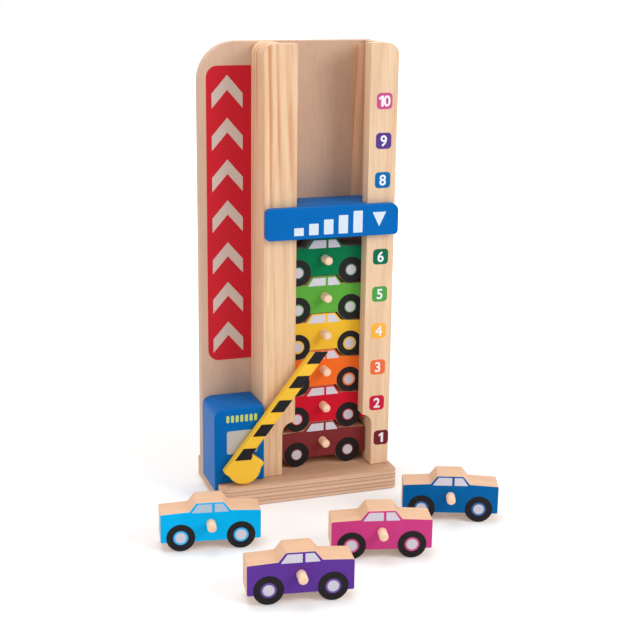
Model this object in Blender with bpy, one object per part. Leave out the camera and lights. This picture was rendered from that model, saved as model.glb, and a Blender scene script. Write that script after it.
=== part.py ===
"""A wooden toy parking garage: ten stacking cars, a lift channel, a sliding level sign and a gate.

Metres, +Z up. The origin is the middle of the base's underside and the open front faces -Y.
Car 1 stands on the base behind a doorway that it fits through. Cars 2 to 6 stand on the car
below and are kept in by the uprights' lips, and the level sign rides on the topmost car.
"""

import math

import bmesh
import bpy

for old in list(bpy.data.objects):
    bpy.data.objects.remove(old, do_unlink=True)

# Clearances
JOINT_GAP = 0.0003          # between glued or resting faces
HOLE_GAP = 0.0003           # round a dowel or a screw, all the way round
CAR_SIDE_PLAY = 0.0016      # each side of a car in the channel
CAR_DEPTH_PLAY = 0.0010     # before and behind a car in the channel
SIGN_PLAY = 0.0008          # round the sign's slider
CABIN_HEADROOM = 0.0006     # over a roof, under the next car's floor
GATE_PLAY = 0.0006          # between the booth and the arm that turns on it
PIVOT_END_GAP = 0.0010      # behind the gate's pivot, in its hole

# Cars
CAR_LENGTH = 0.082
CAR_THICKNESS = 0.024
WHEEL_RADIUS = 0.012
WHEEL_OFFSET = 0.0246
ROOF_HEIGHT = 0.0414
HOOD_HEIGHT = 0.0341        # beside the cabin
HOOD_END_HEIGHT = 0.0327    # at the two ends
CABIN_BACK = 0.0172         # foot of the cabin, from the middle
CABIN_FRONT = 0.0164
ROOF_BACK = 0.0115
ROOF_FRONT = 0.0106
CAR_EDGE = 0.0006
PEG_DIAMETER = 0.0075
PEG_STICK_OUT = 0.0118
PEG_DEPTH = 0.0120
PEG_HEIGHT = 0.0235
CARS_IN_TOWER = 6
CAR_COUNT = 10

# Base and back panel
BASE_WIDTH = 0.162
BASE_DEPTH = 0.090
BASE_THICKNESS = 0.018
BASE_FRONT_RADIUS = 0.013
BASE_REAR_RADIUS = 0.009
PANEL_THICKNESS = 0.011
PANEL_CORNER = 0.033
PANEL_RIGHT_CORNER = 0.0095
LAP_DEPTH = 0.0065          # how far panel and booth reach down past the base's left edge
LAP_WIDTH = 0.0030          # how far they stand out beyond it
EDGE = 0.0010

# Uprights
UPRIGHT_FRONT = 0.018 - BASE_DEPTH / 2      # set back from the base's front edge
LIP_THICKNESS = 0.0125
LEFT_WEB = 0.0176
RIGHT_WEB = 0.0166
LEFT_LIP = 0.0117
RIGHT_LIP = 0.0089
UPRIGHT_CORNER = 0.0095
UPRIGHT_EDGE = 0.0022
DOORWAY_CORNER = 0.0100
DOORWAY_HEADROOM = 0.0078   # over car 1's roof

# Ticket booth
BOOTH_HEIGHT = 0.069
BOOTH_FRONT = UPRIGHT_FRONT - 0.004         # stands forward of the uprights
BOOTH_CORNER = 0.009

# Gate, measured from its pivot: along the bar, and square to it
GATE_REACH = 0.1177
GATE_LOW_SIDE = 0.0019      # the bar's lower side lies above the pivot
GATE_WIDTH = 0.0112
GATE_THICKNESS = 0.0090
GATE_ROUND_RADIUS = 0.0150  # the round end, about the pivot
GATE_FOOT_BACK = 0.0135     # the square foot that the round end bulges from
GATE_FOOT_FRONT = 0.0139
GATE_FOOT_SIDE = 0.0126
GATE_EDGE = 0.0014
GATE_OVER_BASE = 0.0010     # under the round end
GATE_REST_ANGLE = 51.9
PIVOT_FROM_SIDE = 0.0246    # the pivot, from the booth's left side
PIVOT_DIAMETER = 0.008
PIVOT_IN_BOOTH = 0.020
PIVOT_IN_ARM = 0.0062

# Level sign
SIGN_HEIGHT = 0.0275
SIGN_THICKNESS = 0.0070
SIGN_RIGHT_OVERHANG = 0.0007
SIGN_GAP = 0.0005           # between the board's back and the uprights' faces
SLIDER_DROP = 0.0047        # how far the slider hangs below the board

# Screws
SCREW_SHANK = 0.0035
SCREW_HEAD = 0.0070
SCREW_RIM = 0.0003          # straight edge of the head, before its cone
SCREW_SUNK = 0.0006         # how far the heads lie below the surface
SCREW_INSET = 0.0105        # from the sides and faces of the block it holds
PANEL_SCREW_INSET = 0.030   # from the panel's left side
BASE_SCREW_LENGTH = 0.036
PANEL_SCREW_LENGTH = 0.026
PANEL_SCREW_SHARES = (0.19, 0.54, 0.89)     # of the tower's height

# How far the cutters reach past what they cut
CUT_PAST = 0.0020

# Sides of the round pieces and of their holes
PEG_SIDES = 16
PIVOT_SIDES = 24
SCREW_SIDES = 12

# What follows from the sizes above
CHANNEL_WIDTH = CAR_LENGTH + 2 * CAR_SIDE_PLAY
RIGHT_SIDE = BASE_WIDTH / 2
CHANNEL_RIGHT = RIGHT_SIDE - RIGHT_WEB
CHANNEL_LEFT = CHANNEL_RIGHT - CHANNEL_WIDTH
CHANNEL_MIDDLE = (CHANNEL_LEFT + CHANNEL_RIGHT) / 2
LEFT_UPRIGHT_LEFT = CHANNEL_LEFT - LEFT_WEB
SLOT_LEFT = CHANNEL_LEFT + LEFT_LIP
SLOT_RIGHT = CHANNEL_RIGHT - RIGHT_LIP
LIP_BACK = UPRIGHT_FRONT + LIP_THICKNESS
CAR_FACE = LIP_BACK + CAR_DEPTH_PLAY
PANEL_FRONT = CAR_FACE + CAR_THICKNESS + CAR_DEPTH_PLAY
PANEL_BACK = PANEL_FRONT + PANEL_THICKNESS
LEFT_SIDE = -BASE_WIDTH / 2 - LAP_WIDTH
FLOOR = BASE_THICKNESS + JOINT_GAP
GATE_PIVOT_X = LEFT_SIDE + PIVOT_FROM_SIDE
GATE_PIVOT_Z = BASE_THICKNESS + GATE_OVER_BASE + GATE_ROUND_RADIUS


def hood_height_at(offset, cabin_foot):
    """Height of the sloping hood at this distance from the car's middle."""
    share = (offset - cabin_foot) / (CAR_LENGTH / 2 - cabin_foot)
    return HOOD_HEIGHT + (HOOD_END_HEIGHT - HOOD_HEIGHT) * share


def seat_height(cabin_foot):
    """Height at which the next car's wheel touches this hood, with the resting gap."""
    slope = math.atan((HOOD_HEIGHT - HOOD_END_HEIGHT) / (CAR_LENGTH / 2 - cabin_foot))
    wheel_middle = hood_height_at(WHEEL_OFFSET, cabin_foot) + (WHEEL_RADIUS + JOINT_GAP) / math.cos(slope)
    return wheel_middle - WHEEL_RADIUS


LEVEL_PITCH = max(seat_height(CABIN_BACK), seat_height(CABIN_FRONT))
BODY_BOTTOM = ROOF_HEIGHT + CABIN_HEADROOM - LEVEL_PITCH
DOORWAY_TOP = FLOOR + ROOF_HEIGHT + DOORWAY_HEADROOM
SIGN_FLOOR = FLOOR + (CARS_IN_TOWER - 1) * LEVEL_PITCH + ROOF_HEIGHT + JOINT_GAP
SLIDER_HEIGHT = SLIDER_DROP + SIGN_HEIGHT
TOWER_TOP = FLOOR + (CAR_COUNT - 1) * LEVEL_PITCH + ROOF_HEIGHT + JOINT_GAP + SLIDER_HEIGHT

# Floor cars: number, middle of the front face (x, y), turn about the vertical in degrees
FLOOR_CARS = (
    (7, -0.1106, -0.1193, -9.3),
    (8, 0.0988, -0.1272, -20.7),
    (9, -0.0693, -0.2275, -8.7),
    (10, 0.0162, -0.1765, -13.7),
)

CAR_COLOURS = {
    1: (0.150, 0.012, 0.016),
    2: (0.560, 0.010, 0.018),
    3: (0.850, 0.130, 0.010),
    4: (0.900, 0.520, 0.020),
    5: (0.130, 0.430, 0.045),
    6: (0.010, 0.150, 0.060),
    7: (0.010, 0.390, 0.800),
    8: (0.006, 0.060, 0.340),
    9: (0.060, 0.012, 0.260),
    10: (0.640, 0.020, 0.170),
}


def paint(name, colour, roughness, metallic=0.0):
    """A material of one colour: wood, paint or steel."""
    material = bpy.data.materials.new(name)
    material.use_nodes = True
    shader = material.node_tree.nodes["Principled BSDF"]
    shader.inputs["Base Color"].default_value = (*colour, 1.0)
    shader.inputs["Roughness"].default_value = roughness
    shader.inputs["Metallic"].default_value = metallic
    return material


PINE = paint("pine", (0.760, 0.500, 0.270), 0.55)
PLYWOOD = paint("plywood", (0.640, 0.420, 0.250), 0.60)
PANEL_WOOD = paint("panel_board", (0.520, 0.400, 0.280), 0.60)
DOWEL_WOOD = paint("dowel_wood", (0.860, 0.620, 0.380), 0.50)
BLUE = paint("blue_paint", (0.006, 0.100, 0.450), 0.40)
YELLOW = paint("yellow_paint", (0.820, 0.440, 0.040), 0.40)
STEEL = paint("zinc_steel", (0.620, 0.620, 0.640), 0.35, 1.0)


def filleted(corners, steps=5):
    """Outline points of a polygon whose corners, given as (x, y, radius), are rounded."""
    points = []
    for i, (x, y, radius) in enumerate(corners):
        if radius == 0:
            points.append((x, y))
            continue
        before = corners[i - 1]
        after = corners[(i + 1) % len(corners)]
        ax, ay = before[0] - x, before[1] - y
        bx, by = after[0] - x, after[1] - y
        a_length, b_length = math.hypot(ax, ay), math.hypot(bx, by)
        ax, ay, bx, by = ax / a_length, ay / a_length, bx / b_length, by / b_length
        half = math.acos(max(-1.0, min(1.0, ax * bx + ay * by))) / 2
        cut = radius / math.tan(half)
        mx, my = ax + bx, ay + by
        m_length = math.hypot(mx, my)
        cx = x + mx / m_length * radius / math.sin(half)
        cy = y + my / m_length * radius / math.sin(half)
        start = math.atan2(y + ay * cut - cy, x + ax * cut - cx)
        end = math.atan2(y + by * cut - cy, x + bx * cut - cx)
        sweep = (end - start + math.pi) % (2 * math.pi) - math.pi
        for step in range(steps + 1):
            angle = start + sweep * step / steps
            points.append((cx + radius * math.cos(angle), cy + radius * math.sin(angle)))
    return points


def circle(x, y, radius, count):
    """Outline points of a circle."""
    turns = [2 * math.pi * i / count for i in range(count)]
    return [(x + radius * math.cos(t), y + radius * math.sin(t)) for t in turns]


def arc(radius, start, end, steps):
    """Points on a circle about the origin, between two angles."""
    turns = [start + (end - start) * i / steps for i in range(steps + 1)]
    return [(radius * math.cos(t), radius * math.sin(t)) for t in turns]


def finish(name, mesh_maker, material, smooth=True):
    """The object made from a bmesh, with outward normals."""
    bmesh.ops.recalc_face_normals(mesh_maker, faces=mesh_maker.faces[:])
    mesh = bpy.data.meshes.new(name)
    mesh_maker.to_mesh(mesh)
    mesh_maker.free()
    if smooth:
        mesh.shade_smooth()
        mesh.set_sharp_from_angle(angle=math.radians(35))
    item = bpy.data.objects.new(name, mesh)
    bpy.context.scene.collection.objects.link(item)
    if material:
        mesh.materials.append(material)
    return item


def prism(name, outline, start, end, axis, material=None):
    """An outline carried straight along Y (outline in x, z) or along Z (outline in x, y)."""
    place = {
        "Y": lambda u, v, w: (u, w, v),
        "Z": lambda u, v, w: (u, v, w),
    }[axis]
    maker = bmesh.new()
    near = [maker.verts.new(place(u, v, start)) for u, v in outline]
    far = [maker.verts.new(place(u, v, end)) for u, v in outline]
    maker.faces.new(near)
    maker.faces.new(far[::-1])
    for i in range(len(outline)):
        j = (i + 1) % len(outline)
        maker.faces.new((near[i], far[i], far[j], near[j]))
    return finish(name, maker, material)


def lathe(name, profile, count, material=None):
    """A closed profile of (radius, height), both ends on the axis, spun about Z."""
    maker = bmesh.new()
    rings = []
    for radius, height in profile:
        if radius == 0:
            rings.append([maker.verts.new((0, 0, height))])
        else:
            rings.append([maker.verts.new((x, y, height)) for x, y in circle(0, 0, radius, count)])
    for low, high in zip(rings, rings[1:]):
        for i in range(count):
            j = (i + 1) % count
            if len(low) == 1:
                maker.faces.new((low[0], high[j], high[i]))
            elif len(high) == 1:
                maker.faces.new((low[i], low[j], high[0]))
            else:
                maker.faces.new((low[i], low[j], high[j], high[i]))
    return finish(name, maker, material)


def cut(item, cutter):
    """Takes the cutter's shape out of the item and hides the cutter."""
    cutter.hide_render = True
    cutter.display_type = "WIRE"
    modifier = item.modifiers.new("cut_" + cutter.name, "BOOLEAN")
    modifier.operation = "DIFFERENCE"
    modifier.solver = "EXACT"
    modifier.object = cutter


def soften(item, width, segments=2):
    """Rounds the item's sharp edges."""
    modifier = item.modifiers.new("soft_edges", "BEVEL")
    modifier.width = width
    modifier.segments = segments
    modifier.limit_method = "ANGLE"
    modifier.angle_limit = math.radians(40)
    modifier.harden_normals = False


def round_hole(name, x, y, z, diameter, depth, turn, sides):
    """A cutter for a round hole that starts at (x, y, z) and runs along the turned +Z."""
    item = lathe(name, [(0, 0), (diameter / 2, 0), (diameter / 2, depth), (0, depth)], sides)
    item.location = (x, y, z)
    item.rotation_euler = turn
    return item


def screw(name, place, turn, length, pieces):
    """A countersunk wood screw with its head at the place, and its hole in each of the pieces."""
    head, shank = SCREW_HEAD / 2, SCREW_SHANK / 2
    cone_end = SCREW_RIM + head - shank
    item = lathe(
        name,
        [(0, 0), (head, 0), (head, SCREW_RIM), (shank, cone_end), (shank, length - 2 * shank), (0, length)],
        SCREW_SIDES,
        STEEL,
    )
    above = -SCREW_SUNK - CUT_PAST
    cone_shift = HOLE_GAP * (math.sqrt(2) - 1)
    hole = lathe(
        name + "_hole",
        [
            (0, above),
            (head + HOLE_GAP, above),
            (head + HOLE_GAP, SCREW_RIM + cone_shift),
            (shank + HOLE_GAP, cone_end + cone_shift),
            (shank + HOLE_GAP, length + HOLE_GAP),
            (0, length + HOLE_GAP),
        ],
        SCREW_SIDES,
    )
    for part in (item, hole):
        part.location = place
        part.rotation_euler = turn
    for piece in pieces:
        cut(piece, hole)


UP = (0.0, 0.0, 0.0)
TOWARDS_FRONT = (math.radians(90), 0.0, 0.0)
TOWARDS_BACK = (math.radians(-90), 0.0, 0.0)

# Base plate
half_width, half_depth = BASE_WIDTH / 2, BASE_DEPTH / 2
base_plate = prism(
    "base_plate",
    filleted([
        (-half_width, -half_depth, BASE_FRONT_RADIUS),
        (half_width, -half_depth, BASE_FRONT_RADIUS),
        (half_width, half_depth, BASE_REAR_RADIUS),
        (-half_width, half_depth, BASE_REAR_RADIUS),
    ], 8),
    0.0,
    BASE_THICKNESS,
    "Z",
    PLYWOOD,
)
soften(base_plate, EDGE)

# Back panel, with a lap that reaches down past the base's left edge
lap_inner = -half_width - JOINT_GAP
lap_bottom = BASE_THICKNESS - LAP_DEPTH
back_panel = prism(
    "back_panel",
    filleted([
        (LEFT_SIDE, lap_bottom, 0),
        (lap_inner, lap_bottom, 0),
        (lap_inner, FLOOR, 0),
        (RIGHT_SIDE, FLOOR, 0),
        (RIGHT_SIDE, TOWER_TOP, PANEL_RIGHT_CORNER),
        (LEFT_SIDE, TOWER_TOP, PANEL_CORNER),
    ], 12),
    PANEL_FRONT,
    PANEL_BACK,
    "Y",
    PANEL_WOOD,
)
soften(back_panel, EDGE / 2)


def upright(name, left, right, round_left):
    """The silhouette of an upright, before its channel and doorway are cut."""
    back = PANEL_FRONT - JOINT_GAP
    item = prism(
        name,
        filleted([
            (left, FLOOR, 0),
            (right, FLOOR, 0),
            (right, TOWER_TOP, 0 if round_left else UPRIGHT_CORNER),
            (left, TOWER_TOP, UPRIGHT_CORNER if round_left else 0),
        ], 8),
        UPRIGHT_FRONT,
        back,
        "Y",
        PINE,
    )
    return item


left_upright = upright("left_upright", LEFT_UPRIGHT_LEFT, SLOT_LEFT, True)
right_upright = upright("right_upright", SLOT_RIGHT, RIGHT_SIDE, False)

channel_cutter = prism(
    "channel_cutter",
    [
        (CHANNEL_LEFT, LIP_BACK),
        (CHANNEL_RIGHT, LIP_BACK),
        (CHANNEL_RIGHT, PANEL_FRONT + CUT_PAST),
        (CHANNEL_LEFT, PANEL_FRONT + CUT_PAST),
    ],
    0.0,
    TOWER_TOP + CUT_PAST,
    "Z",
)
doorway_cutter = prism(
    "doorway_cutter",
    filleted([
        (CHANNEL_LEFT, 0.0, 0),
        (CHANNEL_RIGHT, 0.0, 0),
        (CHANNEL_RIGHT, DOORWAY_TOP, DOORWAY_CORNER),
        (CHANNEL_LEFT, DOORWAY_TOP, DOORWAY_CORNER),
    ], 6),
    UPRIGHT_FRONT - CUT_PAST,
    LIP_BACK + CUT_PAST,
    "Y",
)
for post in (left_upright, right_upright):
    cut(post, channel_cutter)
    cut(post, doorway_cutter)
    soften(post, UPRIGHT_EDGE, 3)

# Ticket booth, standing on the base and lapping over its left edge
booth_right = LEFT_UPRIGHT_LEFT - JOINT_GAP
booth_top = BASE_THICKNESS + BOOTH_HEIGHT
ticket_booth = prism(
    "ticket_booth",
    filleted([
        (LEFT_SIDE, lap_bottom, 0),
        (lap_inner, lap_bottom, 0),
        (lap_inner, FLOOR, 0),
        (booth_right, FLOOR, 0),
        (booth_right, booth_top, 0.002),
        (LEFT_SIDE, booth_top, BOOTH_CORNER),
    ], 8),
    BOOTH_FRONT,
    PANEL_FRONT - JOINT_GAP,
    "Y",
    BLUE,
)
soften(ticket_booth, EDGE)

# Gate: an arm sawn in one piece with a square foot and a round end, and a dowel that turns in the booth
gate_back = BOOTH_FRONT - GATE_PLAY
gate_face = gate_back - GATE_THICKNESS
gate_high_side = GATE_LOW_SIDE + GATE_WIDTH
round_end = arc(
    GATE_ROUND_RADIUS,
    math.acos(-GATE_FOOT_BACK / GATE_ROUND_RADIUS),
    2 * math.pi - math.asin(GATE_FOOT_SIDE / GATE_ROUND_RADIUS),
    22,
)
gate_arm = prism(
    "gate_arm",
    filleted([
        *((u, w, 0) for u, w in round_end),
        (GATE_FOOT_FRONT, -GATE_FOOT_SIDE, 0.0015),
        (GATE_FOOT_FRONT, GATE_LOW_SIDE, 0.0010),
        (GATE_REACH, GATE_LOW_SIDE, 0.0040),
        (GATE_REACH, gate_high_side, 0.0020),
        (-GATE_FOOT_BACK, gate_high_side, 0.0015),
    ], 6),
    gate_face,
    gate_back,
    "Y",
    YELLOW,
)
soften(gate_arm, GATE_EDGE)
pivot_start = gate_back - PIVOT_IN_ARM
gate_pivot = lathe(
    "gate_pivot",
    [
        (0, 0),
        (PIVOT_DIAMETER / 2 - 0.0004, 0),
        (PIVOT_DIAMETER / 2, 0.0004),
        (PIVOT_DIAMETER / 2, PIVOT_IN_ARM + GATE_PLAY + PIVOT_IN_BOOTH - 0.0004),
        (PIVOT_DIAMETER / 2 - 0.0004, PIVOT_IN_ARM + GATE_PLAY + PIVOT_IN_BOOTH),
        (0, PIVOT_IN_ARM + GATE_PLAY + PIVOT_IN_BOOTH),
    ],
    PIVOT_SIDES,
    DOWEL_WOOD,
)
gate_pivot.location = (GATE_PIVOT_X, pivot_start, GATE_PIVOT_Z)
gate_pivot.rotation_euler = TOWARDS_BACK
pivot_hole = PIVOT_DIAMETER + 2 * HOLE_GAP
cut(ticket_booth, round_hole(
    "booth_pivot_hole",
    GATE_PIVOT_X,
    BOOTH_FRONT - CUT_PAST,
    GATE_PIVOT_Z,
    pivot_hole,
    PIVOT_IN_BOOTH + CUT_PAST + PIVOT_END_GAP,
    TOWARDS_BACK,
    PIVOT_SIDES,
))
arm_hole = round_hole(
    "arm_pivot_hole",
    0.0,
    pivot_start - HOLE_GAP,
    0.0,
    pivot_hole,
    PIVOT_IN_ARM + 2 * CUT_PAST,
    TOWARDS_BACK,
    PIVOT_SIDES,
)
arm_hole.parent = gate_arm
cut(gate_arm, arm_hole)
gate_arm.location = (GATE_PIVOT_X, 0.0, GATE_PIVOT_Z)
gate_arm.rotation_euler = (0.0, -math.radians(GATE_REST_ANGLE), 0.0)


def car_outline():
    """The side view of a car, wheels included, about its middle and above its wheels' feet."""
    half = CAR_LENGTH / 2
    dip = math.asin((WHEEL_RADIUS - BODY_BOTTOM) / WHEEL_RADIUS)
    wheel = [(u, WHEEL_RADIUS + v) for u, v in arc(WHEEL_RADIUS, math.pi + dip, 2 * math.pi - dip, 10)]
    body = filleted([
        (half, BODY_BOTTOM, 0.0012),
        (half, HOOD_END_HEIGHT, 0.0012),
        (CABIN_FRONT, HOOD_HEIGHT, 0),
        (ROOF_FRONT, ROOF_HEIGHT, 0.0012),
        (-ROOF_BACK, ROOF_HEIGHT, 0.0012),
        (-CABIN_BACK, HOOD_HEIGHT, 0),
        (-half, HOOD_END_HEIGHT, 0.0012),
        (-half, BODY_BOTTOM, 0.0012),
    ], 3)
    back_wheel = [(u - WHEEL_OFFSET, v) for u, v in wheel]
    front_wheel = [(u + WHEEL_OFFSET, v) for u, v in wheel]
    return body + back_wheel + front_wheel


def car(number, x, y, z, turn):
    """A sawn and painted car with a dowel to hold it by. Its origin is under the middle of its front face."""
    colour = paint(f"car_paint_{number:02d}", CAR_COLOURS[number], 0.40)
    body = prism(f"car_{number:02d}", car_outline(), 0.0, CAR_THICKNESS, "Y", colour)
    soften(body, CAR_EDGE, 1)
    hole = round_hole(
        f"peg_hole_{number:02d}",
        0.0,
        PEG_DEPTH,
        PEG_HEIGHT,
        PEG_DIAMETER + 2 * HOLE_GAP,
        PEG_DEPTH + CUT_PAST,
        TOWARDS_FRONT,
        PEG_SIDES,
    )
    hole.parent = body
    cut(body, hole)
    radius = PEG_DIAMETER / 2
    length = PEG_STICK_OUT + PEG_DEPTH - HOLE_GAP
    dome = [(radius * math.cos(a), length - 0.6 * radius * (1 - math.sin(a))) for a in (0, 0.45, 0.9, 1.25)]
    profile = [(0, 0), (radius - 0.0004, 0), (radius, 0.0004)] + dome + [(0, length)]
    peg = lathe(f"peg_{number:02d}", profile, PEG_SIDES, DOWEL_WOOD)
    peg.parent = body
    peg.location = (0.0, PEG_DEPTH - HOLE_GAP, PEG_HEIGHT)
    peg.rotation_euler = TOWARDS_FRONT
    body.location = (x, y, z)
    body.rotation_euler = (0.0, 0.0, math.radians(turn))


for number in range(1, CARS_IN_TOWER + 1):
    car(number, CHANNEL_MIDDLE, CAR_FACE, FLOOR + (number - 1) * LEVEL_PITCH, 0.0)
for number, x, y, turn in FLOOR_CARS:
    car(number, x, y, 0.0, turn)

# Level sign: a slider with ears in the channel and a neck through the slot, and the board glued to it
ear = CAR_LENGTH / 2 + CAR_SIDE_PLAY - SIGN_PLAY
neck_left = SLOT_LEFT + SIGN_PLAY
neck_right = SLOT_RIGHT - SIGN_PLAY
slider_top = SIGN_FLOOR + SLIDER_HEIGHT
board_back = UPRIGHT_FRONT - SIGN_GAP
ear_front = LIP_BACK + SIGN_PLAY
ear_back = PANEL_FRONT - SIGN_PLAY
level_slider = prism(
    "level_slider",
    [
        (CHANNEL_MIDDLE - ear, ear_front),
        (neck_left, ear_front),
        (neck_left, board_back),
        (neck_right, board_back),
        (neck_right, ear_front),
        (CHANNEL_MIDDLE + ear, ear_front),
        (CHANNEL_MIDDLE + ear, ear_back),
        (CHANNEL_MIDDLE - ear, ear_back),
    ],
    SIGN_FLOOR,
    slider_top,
    "Z",
    BLUE,
)
soften(level_slider, EDGE / 2, 1)
board_left = LEFT_UPRIGHT_LEFT
board_right = RIGHT_SIDE + SIGN_RIGHT_OVERHANG
level_board = prism(
    "level_board",
    filleted([
        (board_left, SIGN_FLOOR + SLIDER_DROP, 0.0035),
        (board_right, SIGN_FLOOR + SLIDER_DROP, 0.0035),
        (board_right, slider_top, 0.0070),
        (board_left, slider_top, 0.0050),
    ]),
    board_back - JOINT_GAP - SIGN_THICKNESS,
    board_back - JOINT_GAP,
    "Y",
    BLUE,
)
soften(level_board, EDGE)

# Screws up through the base into what stands on it, and through the panel into the uprights
left_web = (LEFT_UPRIGHT_LEFT + CHANNEL_LEFT) / 2
right_web = (CHANNEL_RIGHT + RIGHT_SIDE) / 2
panel_middle = (PANEL_FRONT + PANEL_BACK) / 2
web_front = UPRIGHT_FRONT + SCREW_INSET
booth_front = BOOTH_FRONT + SCREW_INSET
rear = PANEL_FRONT - SCREW_INSET
base_screws = (
    (left_upright, ((left_web, web_front), (left_web, rear))),
    (right_upright, ((right_web, web_front), (right_web, rear))),
    (back_panel, ((LEFT_SIDE + PANEL_SCREW_INSET, panel_middle), (CHANNEL_MIDDLE, panel_middle))),
    (ticket_booth, ((LEFT_SIDE + SCREW_INSET, booth_front), (booth_right - SCREW_INSET, rear))),
)
for piece, places in base_screws:
    for number, (x, y) in enumerate(places, 1):
        label = f"{piece.name}_screw_{number}"
        screw(label, (x, y, SCREW_SUNK), UP, BASE_SCREW_LENGTH, (base_plate, piece))
for piece, x, side in ((left_upright, left_web, "left"), (right_upright, right_web, "right")):
    for number, share in enumerate(PANEL_SCREW_SHARES, 1):
        label = f"rear_{side}_screw_{number}"
        place = (x, PANEL_BACK - SCREW_SUNK, share * TOWER_TOP)
        screw(label, place, TOWARDS_FRONT, PANEL_SCREW_LENGTH, (back_panel, piece))
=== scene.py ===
"""The looks of a wooden toy parking garage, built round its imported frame.

Metres, +Z up, open front towards -Y. Each new piece is a surface worked out with numpy and laid
where the frame's own boxes say, so it moves with the body that it belongs to.
"""

import math

import bmesh
import bpy
import numpy as np
from mathutils import Matrix, Vector


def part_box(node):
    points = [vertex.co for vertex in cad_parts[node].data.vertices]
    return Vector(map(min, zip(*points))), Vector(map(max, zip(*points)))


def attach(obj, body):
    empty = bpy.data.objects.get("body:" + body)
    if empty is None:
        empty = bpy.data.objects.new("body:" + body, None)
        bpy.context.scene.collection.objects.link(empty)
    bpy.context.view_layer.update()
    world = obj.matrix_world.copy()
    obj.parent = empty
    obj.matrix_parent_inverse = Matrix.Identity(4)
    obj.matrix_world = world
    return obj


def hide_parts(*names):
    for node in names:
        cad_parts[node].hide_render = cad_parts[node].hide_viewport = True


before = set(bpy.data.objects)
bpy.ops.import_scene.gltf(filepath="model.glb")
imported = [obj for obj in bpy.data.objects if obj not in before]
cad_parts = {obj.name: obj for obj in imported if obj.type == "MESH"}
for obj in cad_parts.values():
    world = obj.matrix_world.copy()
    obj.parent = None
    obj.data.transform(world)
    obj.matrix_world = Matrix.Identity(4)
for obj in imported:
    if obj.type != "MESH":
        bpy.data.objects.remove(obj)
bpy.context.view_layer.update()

# Places read from the frame
LEFT_POST_LOW, LEFT_POST_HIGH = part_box("left_upright")
RIGHT_POST_LOW, RIGHT_POST_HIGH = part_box("right_upright")
PANEL_LOW, PANEL_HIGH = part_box("back_panel")
BASE_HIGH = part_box("base_plate")[1]
BOOTH_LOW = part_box("ticket_booth")[0]
BOARD_LOW, BOARD_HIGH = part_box("level_board")
PIVOT_LOW, PIVOT_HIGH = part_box("gate_pivot")
ARM_LOW, ARM_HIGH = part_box("gate_arm")
CAR_LOW, CAR_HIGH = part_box("car_01")
LEVEL_PITCH = (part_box("car_06")[0].z - CAR_LOW.z) / 5

# Cars: lengths from the middle, heights from the foot
CAR_LENGTH = CAR_HIGH.x - CAR_LOW.x
CAR_THICKNESS = CAR_HIGH.y - CAR_LOW.y
ROOF_HEIGHT = CAR_HIGH.z - CAR_LOW.z
WHEEL_RADIUS = 0.012
WHEEL_OFFSET = 0.0246
BODY_BOTTOM = 0.0080
HOOD_HEIGHT = 0.0341
HOOD_END_HEIGHT = 0.0327
CABIN_BACK, CABIN_FRONT = 0.0172, 0.0164
ROOF_BACK, ROOF_FRONT = 0.0115, 0.0106
BODY_ROUND, CABIN_FOOT_ROUND, ROOF_ROUND = 0.0012, 0.0004, 0.0014
CAR_EDGE = 0.0006
PAINT_INSET, PAINT_LAP, PAINT_EDGE = 0.00008, 0.0009, 0.0004
FLOOR_TURNS = {7: -9.3, 8: -20.7, 9: -8.7, 10: -13.7}

# Printed wheels and windows of a car
TYRE_RADIUS = WHEEL_RADIUS - 0.0003
RIM_RADIUS, SMALL_RIM_RADIUS, HUB_RADIUS = 0.0061, 0.0054, 0.0045
SMALL_RIM_CARS = (1, 2, 5, 6)
COOL_WINDOW_CAR = 7
RIM_SHARE, RIM_LIFT = 0.95, 0.04    # a rim has this share of the paint's colour, and this much white
WINDOW_FOOT, WINDOW_TOP = 0.0331, 0.0402
WINDOWS = (
    (
        (-0.0155, WINDOW_FOOT, 0.0004),
        (0.0010, WINDOW_FOOT, 0.0004),
        (0.0010, WINDOW_TOP, 0.0004),
        (-0.0105, WINDOW_TOP, 0.0006),
    ),
    (
        (0.0031, WINDOW_FOOT, 0.0004),
        (0.0148, WINDOW_FOOT, 0.0004),
        (0.0099, WINDOW_TOP, 0.0006),
        (0.0031, WINDOW_TOP, 0.0004),
    ),
)

# Dowel handles
PEG_HEIGHT = 0.0235
PEG_REACH, PEG_DEPTH = 0.0114, 0.0115   # how far a peg runs out of the car's face, and into it
PEG_EDGE = 0.42             # the round of a peg's end, as a share of the peg's radius

# Base corners: side, end, the node's radius, the tighter one, and the way further out to the right
BASE_CORNERS = (
    (-1, -1, 0.013, 0.010, 0.0),
    (1, -1, 0.013, 0.006, 0.003),
    (1, 1, 0.009, 0.005, 0.003),
    (-1, 1, 0.009, 0.005, 0.0),
)
CORNER_TOLERANCE = 0.0004   # a point this little short of a corner still belongs to it
TOP_PLY = 0.0016            # thickness of the ply on top

# Level sign's slider: its neck runs through the slot, and its block behind the lips hangs lower
NECK_LEFT, NECK_RIGHT = -0.0083, 0.0547
NECK_LAP = 0.0010
SLIDER_FRONT = -0.0137
SLIDER_CORNER, SLIDER_EDGE = 0.0012, 0.0006

# Level sign's board, its rising bars and its pointer
BOARD_FOOT_ROUND, BOARD_RIGHT_ROUND, BOARD_LEFT_ROUND = 0.0035, 0.0070, 0.0050
BOARD_EDGE = 0.0010
BAR_COUNT = 5
BAR_LEFTS = (-0.0138, 0.0397)
BAR_TOPS = (0.2450, 0.2573)
BAR_FOOT = 0.2382
BAR_WIDTH, BAR_CORNER = 0.0085, 0.0006
POINTER = ((0.0636, 0.2427, 0.0003), (0.0699, 0.2553, 0.0003), (0.0573, 0.2553, 0.0003))

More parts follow.
